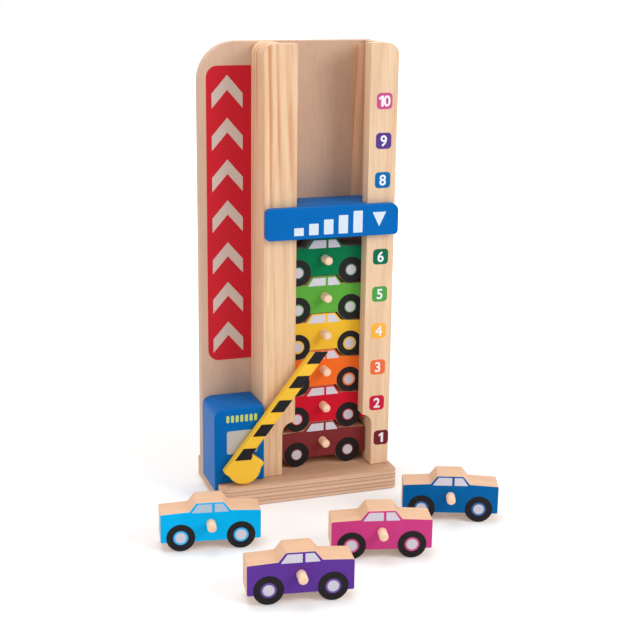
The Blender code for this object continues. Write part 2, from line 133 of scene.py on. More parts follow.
# Rear guides of the channel, behind the ends of the cars
GUIDE_LAP = 0.0012          # how far a guide reaches past the lip in front of it
GUIDE_THICKNESS = 0.0006
GUIDE_TOP_GAP = 0.0030
GUIDE_CORNER, GUIDE_EDGE = 0.0004, 0.0003
LEFT_WEB, RIGHT_WEB = 0.0176, 0.0166

# Gate, measured from its pivot: along the bar, and square to it
GATE_REACH = 0.1177
GATE_LOW_SIDE, GATE_HIGH_SIDE = 0.0019, 0.0131
GATE_ROUND_RADIUS = 0.0150
GATE_FOOT_BACK, GATE_FOOT_FRONT, GATE_FOOT_SIDE = 0.0135, 0.0139, 0.0126
GATE_CORNER, GATE_NOTCH_CORNER, GATE_TIP_CORNER = 0.0022, 0.0010, 0.0040
GATE_EDGE = 0.0014
GATE_REST_ANGLE = 51.9
STRIPE_COUNT = 5
STRIPE_PITCH = 0.0263
STRIPE_LENGTH = 0.0132
STRIPE_LOW, STRIPE_HIGH = 0.0024, 0.0122
STRIPE_LOW_START, STRIPE_HIGH_START = 0.0078, 0.0010
FIRST_STRIPE_FOOT = ((0.0096, 0.0003), (0.0124, 0.0010), (0.0142, STRIPE_LOW))

# Printing
INK = 0.00012               # thickness of a printed layer
BADGE_WIDTH, BADGE_HEIGHT, BADGE_CORNER = 0.0142, 0.0139, 0.0034
BADGE_X, FIRST_BADGE_X = 0.0689, 0.0740
BADGE_RISE = 0.0253         # a badge's middle above the foot of its level
SIGN_LEFT, SIGN_FOOT, SIGN_TOP, SIGN_CORNER = -0.0779, 0.1189, 0.3780, 0.0100
SIGN_LAP = 0.001            # how far the red field runs behind the left upright
ARROW_LEFT, ARROW_RIGHT = -0.0731, -0.0459
ARROW_TOPS = (0.3702, 0.3342, 0.2985, 0.2630, 0.2260, 0.1903, 0.1541)
ARROW_HEIGHT, ARROW_STROKE = 0.0280, 0.0125
BOOTH_WINDOW = (-0.0729, -0.0450, 0.0450, 0.0665, 0.0022)
MARK_COUNT = 7
MARK_LEFTS = (-0.0732, -0.0480)
MARK_WIDTH, MARK_FOOT, MARK_TOP, MARK_CORNER = 0.0026, 0.0745, 0.0808, 0.0008

# Numbers: their height, and all else as shares of it
DIGIT = 0.0092
TYPE_SIZE, TYPE_WEIGHT = 1.38, 0.030
ONE = ((0.22, 0), (0.47, 0), (0.47, 1), (0.27, 1), (0, 0.82), (0, 0.60), (0.22, 0.72))
ONE_STARTS = {1: 0.25, 10: 0.56}    # from the left edge of a 1 to its badge's middle
NOUGHT_SHIFT = 0.24         # from the middle of the badge with a 10 to its nought's

# Floor and lights: name, place, size and power of each lamp
FLOOR_REACH = 6.0
FLOOR_HEIGHT = -0.0002
FLOOR_COLOUR = (0.86, 0.86, 0.86, 1.0)
FLOOR_GLOW = ((0.0, 0.10), (0.32, 0.15), (0.90, 1.0))
WORLD_LIGHT = 0.50
LAMP_TARGET = (0.0, -0.05, 0.15)
LAMPS = (
    ("key_right", (0.9, -1.1, 0.9), 0.7, 11.0),
    ("overhead", (-0.1, 0.2, 1.5), 1.0, 12.0),
    ("fill_left", (-1.3, -0.7, 0.6), 1.0, 5.0),
)
SEEN_RAYS = ("Is Camera Ray", "Is Glossy Ray", "Is Transmission Ray")

# Camera, solved from the photograph's straight edges
CAMERA_PLACE = (-0.3575, -1.0812, 0.4758)
CAMERA_YAW, CAMERA_PITCH, CAMERA_ROLL = 0.3382, 0.2754, 0.0142
CAMERA_LENS, CAMERA_SENSOR = 74.45, 36.0
CAMERA_NEAR, CAMERA_FAR = 0.01, 50.0


def screen(red, green, blue):
    """A screen colour, 0 to 255, as the linear colour that a node takes."""
    shade = np.array([red, green, blue]) / 255
    linear = np.where(shade > 0.04045, ((shade + 0.055) / 1.055) ** 2.4, shade / 12.92)
    return (*linear.tolist(), 1.0)


# Each car's slot in the record, and its paint
CAR_PAINTS = {
    1: ("car_1_maroon", screen(128, 50, 52)),
    2: ("car_2_red", screen(206, 24, 48)),
    3: ("car_3_orange", screen(245, 112, 38)),
    4: ("car_4_yellow", screen(240, 190, 52)),
    5: ("car_5_light_green", screen(92, 168, 62)),
    6: ("car_6_dark_green", screen(0, 118, 72)),
    7: ("car_7_light_blue", screen(0, 178, 240)),
    8: ("car_8_blue", screen(0, 96, 162)),
    9: ("car_9_purple", screen(96, 54, 150)),
    10: ("car_10_pink", screen(202, 62, 130)),
}
BADGE_COLOURS = {
    1: screen(114, 34, 44),
    2: screen(196, 30, 60),
    3: screen(236, 110, 62),
    4: screen(246, 178, 66),
    5: screen(76, 158, 68),
    6: screen(10, 104, 70),
    7: screen(0, 160, 220),
    8: screen(0, 104, 168),
    9: screen(88, 58, 138),
    10: screen(198, 82, 138),
}
END_GRAIN = screen(226, 188, 160)
GLUE_LINE = screen(140, 98, 72)


class Wire:
    """A shader socket. Each operator adds the Math node that it stands for."""

    def __init__(self, nodes, socket):
        self.nodes = nodes
        self.socket = socket

    def __add__(self, other):
        return self.nodes.math("ADD", self, other)

    def __sub__(self, other):
        return self.nodes.math("SUBTRACT", self, other)

    def __rsub__(self, other):
        return self.nodes.math("SUBTRACT", other, self)

    def __mul__(self, other):
        return self.nodes.math("MULTIPLY", self, other)

    def __truediv__(self, other):
        return self.nodes.math("DIVIDE", self, other)

    def __rtruediv__(self, other):
        return self.nodes.math("DIVIDE", other, self)

    def __pow__(self, other):
        return self.nodes.math("POWER", self, other)

    def __rpow__(self, other):
        return self.nodes.math("POWER", other, self)

    __radd__ = __add__
    __rmul__ = __mul__


class Nodes:
    """The node tree of a material or of the world."""

    def __init__(self, tree):
        self.tree = tree

    def node(self, kind, settings, sockets, output=0):
        """A node of this kind, with its settings set before its sockets are filled or linked."""
        made = self.tree.nodes.new("ShaderNode" + kind)
        for name, value in settings.items():
            if name == "stops":
                self.fill_ramp(made.color_ramp, value)
            else:
                setattr(made, name, value)
        for name, value in sockets.items():
            self.feed(made.inputs[name], value)
        return Wire(self, made.outputs[output])

    def feed(self, socket, value):
        """Links a wire to the socket, or sets the socket's value."""
        if isinstance(value, Wire):
            self.tree.links.new(value.socket, socket)
        else:
            socket.default_value = value

    def fill_ramp(self, ramp, stops):
        """Sets a ramp's stops, each a position and a grey."""
        while len(ramp.elements) < len(stops):
            ramp.elements.new(0.5)
        for element, (position, grey) in zip(ramp.elements, stops):
            element.position = position
            element.color = (grey, grey, grey, 1.0)

    def math(self, operation, first, second=0.0):
        """The result of one Math node."""
        return self.node("Math", {"operation": operation}, {0: first, 1: second})

    def seen(self):
        """1 for the camera's rays and for those of reflections and glass, 0 for all others."""
        return sum(self.node("LightPath", {}, {}, ray) for ray in SEEN_RAYS)


class Finish(Nodes):
    """A material on one Principled shader, and the nodes that feed it."""

    def __init__(self, name, roughness, metallic=0.0, gloss=0.5):
        self.material = bpy.data.materials.new(name)
        self.material.use_nodes = True
        super().__init__(self.material.node_tree)
        self.shader = self.tree.nodes["Principled BSDF"]
        self.shader.inputs["Roughness"].default_value = roughness
        self.shader.inputs["Metallic"].default_value = metallic
        self.shader.inputs["Specular IOR Level"].default_value = gloss

    def ramp(self, factor, stops):
        """The factor sent through a ramp of greys."""
        return self.node("ValToRGB", {"stops": stops}, {0: factor})

    def mix(self, factor, first, second, blend="MIX"):
        """Two colours blended by a factor."""
        settings = {"data_type": "RGBA", "blend_type": blend}
        return self.node("Mix", settings, {0: factor, 6: first, 7: second}, 2)

    def tone(self, colour, factor, stops):
        """The colour made darker or lighter by a ramp of the factor."""
        return self.mix(1.0, colour, self.ramp(factor, stops), "MULTIPLY")

    def noise(self, place, scale, detail=2.0, roughness=0.5):
        """Smooth noise at a place, 0 to 1."""
        sockets = {"Vector": place, "Scale": scale, "Detail": detail, "Roughness": roughness}
        return self.node("TexNoise", {}, sockets)

    def place(self, turn=0.0):
        """Object coordinates, turned about the vertical by this many degrees."""
        raw = self.node("TexCoord", {}, {}, "Object")
        if turn == 0:
            return raw
        return self.node("Mapping", {}, {"Vector": raw, "Rotation": (0, 0, -math.radians(turn))})

    def split(self, vector):
        """A vector's x, y and z."""
        return [self.node("SeparateXYZ", {}, {0: vector}, output) for output in range(3)]

    def join(self, x, y, z):
        """The vector of x, y and z."""
        return self.node("CombineXYZ", {}, {0: x, 1: y, 2: z})

    def shade(self, colour, roughness, height, depth):
        """Feeds the shader, with a bump of this depth where the height is 1."""
        self.feed(self.shader.inputs["Base Color"], colour)
        self.feed(self.shader.inputs["Roughness"], roughness)
        bump = self.node("Bump", {}, {"Height": height, "Distance": depth, "Strength": 1.0})
        self.feed(self.shader.inputs["Normal"], bump)
        return self.material


def wood(name, pale, dark, ring, heart, foot, top, along="Z", climb=0.0, turn=0.0):
    """Sawn, lacquered wood.

    The growth rings are the distance from a heart line that runs along the grain and leaves it by
    climb, bent by slow noise and divided by the ring's width. Each ring darkens slowly and ends
    sharply. The rings' strength is foot up to 0.22 m along the grain and top from 0.34 m on, and
    slow noise weakens some of them. Thin dark streaks and the fibres are fine noise drawn out 20
    and 40 times along the grain.
    """
    finish = Finish(name, 0.5, gloss=0.35)
    x, y, z = finish.split(finish.place(turn))
    across, deep, length = (x, y, z) if along == "Z" else (z, y, x)

    def drawn_out(share, scale, detail, roughness=0.5):
        """Noise whose length along the grain is its width divided by this share."""
        return finish.noise(finish.join(across, deep, length * share), scale, detail, roughness)

    bend = drawn_out(0.12, 30.0, 2.0)
    drift = drawn_out(0.3, 9.0, 1.0)
    aside = across - heart[0] + (bend - 0.5) * (ring * 2.2)
    behind = deep - heart[1] + length * climb + (drift - 0.5) * (ring * 3.0)
    distance = (aside * aside + behind * behind) ** 0.5
    late = finish.ramp(finish.math("FRACT", distance / ring), [
        (0.0, 0.30),
        (0.16, 0.0),
        (0.45, 0.10),
        (0.72, 0.75),
        (0.90, 1.0),
        (1.0, 0.30),
    ])
    streak = finish.ramp(drawn_out(0.05, 420.0, 2.0), [(0.52, 0.0), (0.72, 1.0)])
    fibre = drawn_out(0.025, 1500.0, 3.0, 0.6)
    cloud = drawn_out(0.4, 26.0, 3.0)
    chosen = finish.ramp(drawn_out(0.05, 95.0, 1.0), [(0.36, 0.30), (0.56, 1.0)])
    climbing = finish.ramp(length * 2.5, [(0.0, foot), (0.55, foot), (0.85, top)])
    strength = (cloud * 0.9 + 0.35) * climbing * chosen
    toned = finish.mix(late * strength, pale, dark)
    toned = finish.mix(streak * 0.22, toned, dark)
    toned = finish.tone(toned, fibre, [(0.30, 0.86), (0.55, 1.0), (0.75, 1.04)])
    toned = finish.tone(toned, cloud, [(0.25, 0.92), (0.75, 1.03)])
    return finish.shade(toned, 0.44 + fibre * 0.16, fibre * 0.7 + late * 0.3, 0.00008)


def plywood(name, pale, dark, plies):
    """Plywood that lies flat.

    The plies are the height divided by one ply's thickness. Every other ply shows its end grain,
    which is darker and speckled, and a thin glue line ends each one. The top is one long-grained ply.
    """
    finish = Finish(name, 0.55, gloss=0.35)
    x, y, z = finish.split(finish.place())
    waver = finish.noise(finish.join(x * 0.5, y * 0.5, z), 30.0, 2.0)
    level = (z + (waver - 0.5) * 0.0016) / (BASE_HIGH.z / plies)
    other = finish.math("GREATER_THAN", finish.math("FRACT", level * 0.5), 0.5)
    glue = finish.ramp(finish.math("FRACT", level), [
        (0.0, 0.9),
        (0.10, 0.15),
        (0.30, 0.0),
        (0.70, 0.0),
        (0.90, 0.45),
        (1.0, 1.0),
    ])
    patch = finish.noise(finish.join(x * 0.3, y * 0.3, z), 60.0, 2.0)
    speck = finish.noise(finish.join(x, y, z * 1.5), 900.0, 3.0, 0.7)
    long_grain = finish.noise(finish.join(x * 0.04, y, z), 520.0, 4.0, 0.6)
    slow = finish.noise(finish.join(x * 0.12, y, z), 45.0, 2.0)
    inside = finish.math("LESS_THAN", z, BASE_HIGH.z - TOP_PLY)
    top = finish.mix(finish.ramp(slow, [(0.35, 0.0), (0.70, 0.7)]), pale, dark)
    top = finish.tone(top, long_grain, [(0.30, 0.84), (0.60, 1.0), (0.80, 1.05)])
    edge = finish.mix(other * (0.15 + speck * 0.30), END_GRAIN, dark)
    edge = finish.mix(glue * (0.35 + patch * 0.75), edge, GLUE_LINE)
    edge = finish.tone(edge, speck, [(0.30, 0.88), (0.70, 1.03)])
    height = long_grain * 0.6 + inside * (0.5 - glue * 0.5)
    return finish.shade(finish.mix(inside, top, edge), 0.50 + long_grain * 0.14, height, 0.00010)


def board(name, pale, dark):
    """A plain sanded board: short fine flecks drawn out up and down, over slow clouds."""
    finish = Finish(name, 0.55, gloss=0.3)
    x, y, z = finish.split(finish.place())
    fleck = finish.noise(finish.join(x, y, z * 0.08), 1100.0, 3.0, 0.65)
    cloud = finish.noise(finish.join(x, y, z * 0.5), 14.0, 3.0)
    toned = finish.mix(finish.ramp(cloud, [(0.30, 0.0), (0.75, 0.7)]), pale, dark)
    toned = finish.tone(toned, fleck, [(0.30, 0.91), (0.60, 1.0), (0.80, 1.03)])
    return finish.shade(toned, 0.50 + fleck * 0.12, fleck, 0.00005)


def enamel(name, colour):
    """Satin paint on wood: slow change of tone, the wood's fibres under it and a fine roller texture."""
    finish = Finish(name, 0.36, gloss=0.06)
    place = finish.place()
    x, y, z = finish.split(place)
    cloud = finish.noise(place, 34.0, 3.0)
    fibre = finish.noise(finish.join(x * 0.06, y, z), 900.0, 2.0, 0.6)
    peel = finish.noise(place, 1700.0, 1.0)
    toned = finish.tone(colour, cloud, [(0.25, 0.93), (0.75, 1.04)])
    return finish.shade(toned, 0.31 + cloud * 0.10, fibre * 0.5 + peel * 0.35, 0.00006)


def print_ink(name, colour):
    """Flat printing ink: nearly even, with the faint mottle of a screen print."""
    finish = Finish(name, 0.42, gloss=0.10)
    mottle = finish.noise(finish.place(), 700.0, 3.0, 0.6)
    toned = finish.tone(colour, mottle, [(0.30, 0.95), (0.70, 1.02)])
    return finish.shade(toned, 0.38 + mottle * 0.08, mottle, 0.00002)


def zinc(name, colour):
    """Zinc-plated steel, with cloudy roughness."""
    finish = Finish(name, 0.35, metallic=1.0)
    cloud = finish.noise(finish.place(), 800.0, 3.0)
    toned = finish.tone(colour, cloud, [(0.30, 0.85), (0.70, 1.05)])
    return finish.shade(toned, 0.28 + cloud * 0.20, cloud, 0.00003)


def rounded(corners, steps=10):
    """An outline through corners of (x, z, radius), as an array of points.

    Each corner becomes an arc that touches both its edges: its middle lies on the bisector, the
    radius over the sine of half the corner's angle away, and its points are blended by angle.
    """
    corners = np.array(corners, float)
    point, radius = corners[:, :2], corners[:, 2:]
    back = np.roll(point, 1, 0) - point
    ahead = np.roll(point, -1, 0) - point
    back /= np.linalg.norm(back, axis=1, keepdims=True)
    ahead /= np.linalg.norm(ahead, axis=1, keepdims=True)
    bisector = back + ahead
    bisector /= np.linalg.norm(bisector, axis=1, keepdims=True)
    half = np.arccos((back * ahead).sum(1, keepdims=True)) / 2
    middle = point + bisector * radius / np.sin(half)
    first = point + back * radius / np.tan(half) - middle
    last = point + ahead * radius / np.tan(half) - middle
    sweep = (math.pi - 2 * half)[:, None]
    share = np.linspace(0, 1, steps)[None, :, None]
    arc = np.sin((1 - share) * sweep) * first[:, None] + np.sin(share * sweep) * last[:, None]
    return distinct((middle[:, None] + arc / np.sin(sweep)).reshape(-1, 2))


def distinct(outline):
    """The outline without points that lie within 0.0001 mm of the one before."""
    step = np.linalg.norm(outline - np.roll(outline, 1, 0), axis=1)
    return outline[step > 1e-7]


def disc(x, z, radius, count=64):
    """A circle as an outline: the cosine and sine of even turns."""
    turn = np.linspace(0, 2 * math.pi, count, endpoint=False)
    return np.stack([x + radius * np.cos(turn), z + radius * np.sin(turn)], 1)


def box_outline(left, right, foot, top, radius):
    """A rectangle with equal round corners."""
    return rounded([(left, foot, radius), (right, foot, radius), (right, top, radius), (left, top, radius)])


def inset(outline, distance):
    """The outline moved inwards: each point goes along the bisector of its two edges' normals, by
    the distance over the cosine of half their turn."""
    edge = np.roll(outline, -1, 0) - outline
    edge /= np.linalg.norm(edge, axis=1, keepdims=True)
    inward = np.stack([-edge[:, 1], edge[:, 0]], 1)
    bisector = inward + np.roll(inward, 1, 0)
    bisector /= np.linalg.norm(bisector, axis=1, keepdims=True)
    return outline + bisector * distance / (bisector * inward).sum(1, keepdims=True)


def slab(outline, front, back, edge=0.0):
    """Rings of a plate between two depths: the outline carried along the plate's edge profile,
    which is a quarter circle, a straight side and a quarter circle. One more ring on each flat,
    half an edge further in, keeps the flat's shading even."""
    if edge == 0:
        insets, depths = np.zeros(2), np.array([front, back])
    else:
        angle = np.linspace(0, math.pi / 2, 6)
        round_in = np.concatenate([[edge * 1.5], edge * (1 - np.sin(angle))])
        round_deep = np.concatenate([[0.0], edge * (1 - np.cos(angle))])
        insets = np.concatenate([round_in, round_in[::-1]])
        depths = np.concatenate([front + round_deep, (back - round_deep)[::-1]])
    rings = [np.insert(inset(outline, way), 1, depth, axis=1) for way, depth in zip(insets, depths)]
    return np.stack(rings)


def turned(x, z, profile, count=48):
    """Rings of a turned piece whose axis runs along Y: circles of each (radius, depth)."""
    return np.stack([np.insert(disc(x, z, radius, count), 1, depth, axis=1) for radius, depth in profile])


def skin(name, solids, place=None):
    """One object whose closed shells are stacks of rings, joined ring to ring and capped."""
    points, faces, start = [], [], 0
    for rings in solids:
        rows, count = rings.shape[:2]
        index = np.arange(rows * count).reshape(rows, count) + start
        near, far = index[:-1], index[1:]
        quads = np.stack([near, np.roll(near, -1, 1), np.roll(far, -1, 1), far], -1)
        faces += quads.reshape(-1, 4).tolist() + [index[0][::-1].tolist(), index[-1].tolist()]
        points.append(rings.reshape(-1, 3))
        start += rows * count
    mesh = bpy.data.meshes.new(name)
    mesh.from_pydata(np.concatenate(points).tolist(), [], faces)
    return settle(name, mesh, place)


def settle(name, mesh, place=None, sharp=32):
    """The object of a mesh, at the origin, with outward faces and round stretches shaded smooth."""
    if place is not None:
        mesh.transform(place)
    maker = bmesh.new()
    maker.from_mesh(mesh)
    bmesh.ops.recalc_face_normals(maker, faces=maker.faces[:])
    maker.to_mesh(mesh)
    maker.free()
    mesh.shade_smooth()
    mesh.set_sharp_from_angle(angle=math.radians(sharp))
    item = bpy.data.objects.new(name, mesh)
    bpy.context.scene.collection.objects.link(item)
    return item


def dress(item, material, body, replaces=()):
    """Gives a piece its material and its body, and hides the nodes that it stands for."""
    item.data.materials.clear()
    item.data.materials.append(material)
    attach(item, body)
    if replaces:
        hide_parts(*replaces)


def smooth_copy(node, name, material, body, move=None):
    """A merged copy of a node, in the node's place. Its rounded edges are shaded smooth and its flat
    faces flat: each corner's normal is the mean of its faces' normals, weighted by their areas."""
    maker = bmesh.new()
    maker.from_mesh(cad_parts[node].data)
    bmesh.ops.remove_doubles(maker, verts=maker.verts[:], dist=1e-6)
    mesh = bpy.data.meshes.new(name)
    maker.to_mesh(mesh)
    maker.free()
    if move is not None:
        points = np.empty(len(mesh.vertices) * 3, np.float32)
        mesh.vertices.foreach_get("co", points)
        mesh.vertices.foreach_set("co", move(points.reshape(-1, 3)).ravel())
    item = settle(name, mesh, sharp=50)
    normals = item.modifiers.new("flat_faces", "WEIGHTED_NORMAL")
    normals.keep_sharp = True
    dress(item, material, body, [node])


def printed(name, outlines, front, back, ink, body, place=None):
    """A printed layer between two depths, cut to these outlines."""
    dress(skin(name, [slab(line, front, back) for line in outlines], place), ink, body)


def numeral(name, text, x, z, y):
    """A printed number as a mesh that faces -Y, centred on (x, z)."""
    curve = bpy.data.curves.new(name, "FONT")
    curve.body = text
    curve.size = DIGIT * TYPE_SIZE
    curve.offset = DIGIT * TYPE_WEIGHT
    curve.extrude = INK / 2
    curve.resolution_u = 8
    typed = bpy.data.objects.new(name + "_type", curve)
    bpy.context.scene.collection.objects.link(typed)
    bpy.context.view_layer.update()
    mesh = bpy.data.meshes.new_from_object(typed.evaluated_get(bpy.context.evaluated_depsgraph_get()))
    bpy.data.objects.remove(typed)
    mesh.name = name
    points = np.empty(len(mesh.vertices) * 3)
    mesh.vertices.foreach_get("co", points)
    points = points.reshape(-1, 3)
    middle = (points.max(0) + points.min(0)) / 2
    stand = Matrix.Translation((x, y, z)) @ Matrix.Rotation(math.radians(90), 4, "X")
    return settle(name, mesh, stand @ Matrix.Translation(-Vector(middle)))


# Finishes
PINE_LEFT = wood("pine_left_upright", screen(236, 200, 162), screen(206, 142, 98), ring=0.0045,
                 heart=(0.030, 0.060), foot=0.40, top=1.5, climb=0.020)
PINE_RIGHT = wood("pine_right_upright", screen(236, 203, 168), screen(206, 150, 110), ring=0.0052,
                  heart=(0.055, 0.030), foot=0.30, top=0.55, climb=0.014)
GUIDE_PINE = wood("pine_rear_guides", screen(236, 194, 160), screen(204, 140, 104), ring=0.0075,
                  heart=(0.048, 0.030), foot=1.1, top=1.1, climb=0.016)
PANEL_WOOD = board("panel_board", screen(212, 178, 153), screen(186, 147, 121))
PLYWOOD = plywood("plywood", screen(218, 178, 146), screen(186, 142, 110), 5)
DOWEL = wood("dowel_wood", screen(252, 216, 184), screen(240, 188, 150), ring=0.0022,
             heart=(0.01, 0.02), foot=0.4, top=0.4, along="X")
BLUE = enamel("blue_paint", screen(0, 102, 180))
YELLOW = enamel("yellow_paint", screen(246, 196, 62))
ZINC = zinc("zinc_steel", screen(206, 208, 212))
BLACK_INK = print_ink("black_ink", screen(34, 32, 34))
RED_INK = print_ink("red_ink", screen(200, 32, 46))
WHITE_INK = print_ink("white_ink", screen(236, 238, 242))
BOARD_WHITE = print_ink("board_white_ink", screen(214, 226, 240))
HUB_INK = print_ink("hub_ink", screen(208, 204, 216))
WINDOW_INK = print_ink("window_ink", screen(212, 208, 220))
COOL_WINDOW_INK = print_ink("cool_window_ink", screen(178, 198, 216))
BOOTH_WINDOW_INK = print_ink("booth_window_ink", screen(186, 186, 184))
# Painted shade: the sign's white ink is darkened to a grey-beige, a shaded copy of the white ink
SHADED_SIGN_WHITE = print_ink("sign_white_ink_painted_shade", screen(208, 190, 180))
TICKET_INK = print_ink("ticket_ink", screen(196, 214, 96))


def car_silhouette():
    """A car's side view about its middle: body corners, then each wheel as an arc between the two
    places where its circle leaves the body's underside."""
    half = CAR_LENGTH / 2
    body = rounded([
        (half, BODY_BOTTOM, BODY_ROUND),
        (half, HOOD_END_HEIGHT, BODY_ROUND),
        (CABIN_FRONT, HOOD_HEIGHT, CABIN_FOOT_ROUND),
        (ROOF_FRONT, ROOF_HEIGHT, ROOF_ROUND),
        (-ROOF_BACK, ROOF_HEIGHT, ROOF_ROUND),
        (-CABIN_BACK, HOOD_HEIGHT, CABIN_FOOT_ROUND),
        (-half, HOOD_END_HEIGHT, BODY_ROUND),
        (-half, BODY_BOTTOM, BODY_ROUND),
    ], 5)
    dip = math.asin((WHEEL_RADIUS - BODY_BOTTOM) / WHEEL_RADIUS)
    turn = np.linspace(math.pi + dip, 2 * math.pi - dip, 40)
    wheel = WHEEL_RADIUS * np.stack([np.cos(turn), 1 + np.sin(turn)], 1)
    return distinct(np.concatenate([body, wheel - [WHEEL_OFFSET, 0], wheel + [WHEEL_OFFSET, 0]]))


def wheel_discs(radius):
    """A circle of this radius on each of a car's wheels."""
    return [disc(side * WHEEL_OFFSET, WHEEL_RADIUS, radius) for side in (-1, 1)]


def car_print(number, front, body, place):
    """A car's tyres, rims, hubs and windows, printed on its painted face."""
    colour = CAR_PAINTS[number][1]
    light = tuple(RIM_SHARE * part + RIM_LIFT for part in colour[:3]) + (1.0,)
    rim_ink = print_ink(f"rim_ink_{number:02d}", light)
    rim = SMALL_RIM_RADIUS if number in SMALL_RIM_CARS else RIM_RADIUS
    window_ink = COOL_WINDOW_INK if number == COOL_WINDOW_CAR else WINDOW_INK
    layers = (
        ("tyres", wheel_discs(TYRE_RADIUS), 2, BLACK_INK),
        ("rims", wheel_discs(rim), 3, rim_ink),
        ("hubs", wheel_discs(HUB_RADIUS), 4, HUB_INK),
        ("windows", [rounded(corners, 4) for corners in WINDOWS], 2, window_ink),
    )
    for part, outlines, level, ink in layers:
        name = f"car_{number:02d}_{part}"
        printed(name, outlines, front - level * INK, front + INK, ink, body, place)


def handle(number, front, body, place):
    """A car's dowel, with the edge of its flat end rounded by a quarter circle."""
    node = f"peg_{number:02d}"
    low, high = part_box(node)
    radius = (high.z - low.z) / 2
    edge = PEG_EDGE * radius
    inner, tip = radius - edge, front - PEG_REACH
    turns = np.linspace(math.pi / 2, 0, 8)
    end = [(inner + edge * math.cos(turn), tip + edge * (1 - math.sin(turn))) for turn in turns]
    rings = turned(0.0, PEG_HEIGHT, end + [(radius, front + PEG_DEPTH)])
    dress(skin(node + "_dowel", [rings], place), DOWEL, body, [node])


def car(number):
    """A sawn wooden car with its painted and printed face and its dowel handle."""
    node = f"car_{number:02d}"
    low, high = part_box(node)
    middle = (low + high) / 2
    turn = FLOOR_TURNS.get(number, 0.0)
    place = Matrix.Translation((middle.x, middle.y, low.z)) @ Matrix.Rotation(math.radians(turn), 4, "Z")
    body = f"toy_car_{number}"
    slot, colour = CAR_PAINTS[number]
    front, back = -CAR_THICKNESS / 2, CAR_THICKNESS / 2
    bare = wood(f"car_wood_{number:02d}", screen(232, 190, 156), screen(214, 162, 126), ring=0.0040,
                heart=(0.05, 0.06 * (-1) ** number), foot=0.4, top=0.4, along="X", turn=turn)
    outline = car_silhouette()
    block = slab(outline, front, back, CAR_EDGE)
    dress(skin(node + "_block", [block], place), bare, body, [node])
    coat = slab(inset(outline, PAINT_INSET), front - INK, front + PAINT_LAP, PAINT_EDGE)
    dress(skin(node + "_painted_face", [coat], place), enamel(slot + "_paint", colour), body)
    car_print(number, front, body, place)
    handle(number, front, body, place)


def draw_out_corners(points):
    """The base's points with its corners drawn out to tighter rounds, and its right end 3 mm further out.

    A point past the middle of a corner's circle goes along its ray from there, in the ratio of a
    rounded square's reach to the circle's radius. The reach is the half side over the larger of the
    ray's cosine and sine, or the way to the small round where the ray meets that.
    """
    moved = points.copy()
    for side, end, radius, tight, out in BASE_CORNERS:
        ways = np.array([side, end])
        middle = np.array([side * BASE_HIGH.x, end * BASE_HIGH.y]) - ways * radius
        ray = (points[:, :2] - middle) * ways
        past = (ray > -CORNER_TOLERANCE).all(1)
        way = np.abs(ray[past]) / np.linalg.norm(ray[past], axis=1, keepdims=True)
        straight = radius - tight
        along = (way * straight).sum(1)
        rest = along ** 2 - 2 * straight ** 2 + tight ** 2
        on_round = along + np.sqrt(np.maximum(rest, 0))
        reach = np.where(on_round * way.min(1) > straight, on_round, radius / way.max(1))
        stretched = ray[past] * (reach / radius)[:, None]
        moved[past, :2] = middle + [out, 0] + stretched * ways
    return moved


def tower():
    """The base, panel, uprights, booth and screws, as smooth copies of their nodes."""
    smooth_copy("base_plate", "base_plate_wood", PLYWOOD, "tower", draw_out_corners)
    smooth_copy("back_panel", "back_panel_wood", PANEL_WOOD, "tower")
    smooth_copy("left_upright", "left_upright_wood", PINE_LEFT, "tower")
    smooth_copy("right_upright", "right_upright_wood", PINE_RIGHT, "tower")
    smooth_copy("ticket_booth", "ticket_booth_block", BLUE, "tower")
    for node in sorted(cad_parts):
        if "_screw_" in node:
            smooth_copy(node, node + "_zinc", ZINC, "tower")


def rear_guides():
    """The pine strips behind the cars' ends, from each upright's web to just past its lip."""
    sides = (
        ("left_rear_guide", LEFT_POST_LOW.x + LEFT_WEB, LEFT_POST_HIGH.x + GUIDE_LAP),
        ("right_rear_guide", RIGHT_POST_LOW.x - GUIDE_LAP, RIGHT_POST_HIGH.x - RIGHT_WEB),
    )
    front, back = PANEL_LOW.y - GUIDE_THICKNESS, PANEL_LOW.y + GUIDE_THICKNESS
    for name, left, right in sides:
        outline = box_outline(left, right, BASE_HIGH.z, PANEL_HIGH.z - GUIDE_TOP_GAP, GUIDE_CORNER)
        dress(skin(name, [slab(outline, front, back, GUIDE_EDGE)]), GUIDE_PINE, "tower")


def badges():
    """The level numbers on coloured squares down the right upright."""
    face = RIGHT_POST_LOW.y
    for number, colour in BADGE_COLOURS.items():
        x = FIRST_BADGE_X if number == 1 else BADGE_X
        z = CAR_LOW.z + (number - 1) * LEVEL_PITCH + BADGE_RISE
        square = box_outline(x - BADGE_WIDTH / 2, x + BADGE_WIDTH / 2, z - BADGE_HEIGHT / 2,
                             z + BADGE_HEIGHT / 2, BADGE_CORNER)
        ink = print_ink(f"badge_ink_{number:02d}", colour)
        printed(f"badge_{number:02d}", [square], face - INK, face + INK, ink, "tower")
        name = f"numeral_{number:02d}"
        if number in ONE_STARTS:
            one = np.array(ONE) * DIGIT + [x - ONE_STARTS[number] * DIGIT, z - DIGIT / 2]
            printed(name + "_one", [one], face - 2 * INK, face - INK, WHITE_INK, "tower")
        if number != 1:
            text, middle = ("0", x + NOUGHT_SHIFT * DIGIT) if number == 10 else (str(number), x)
            dress(numeral(name, text, middle, z, face - 1.5 * INK), WHITE_INK, "tower")


def arrow(top):
    """A chevron that points up: two bars of one stroke's height that meet in the middle."""
    foot = top - ARROW_HEIGHT
    middle = (ARROW_LEFT + ARROW_RIGHT) / 2
    return np.array([
        (ARROW_LEFT, foot),
        (middle, top - ARROW_STROKE),
        (ARROW_RIGHT, foot),
        (ARROW_RIGHT, foot + ARROW_STROKE),
        (middle, top),
        (ARROW_LEFT, foot + ARROW_STROKE),
    ])


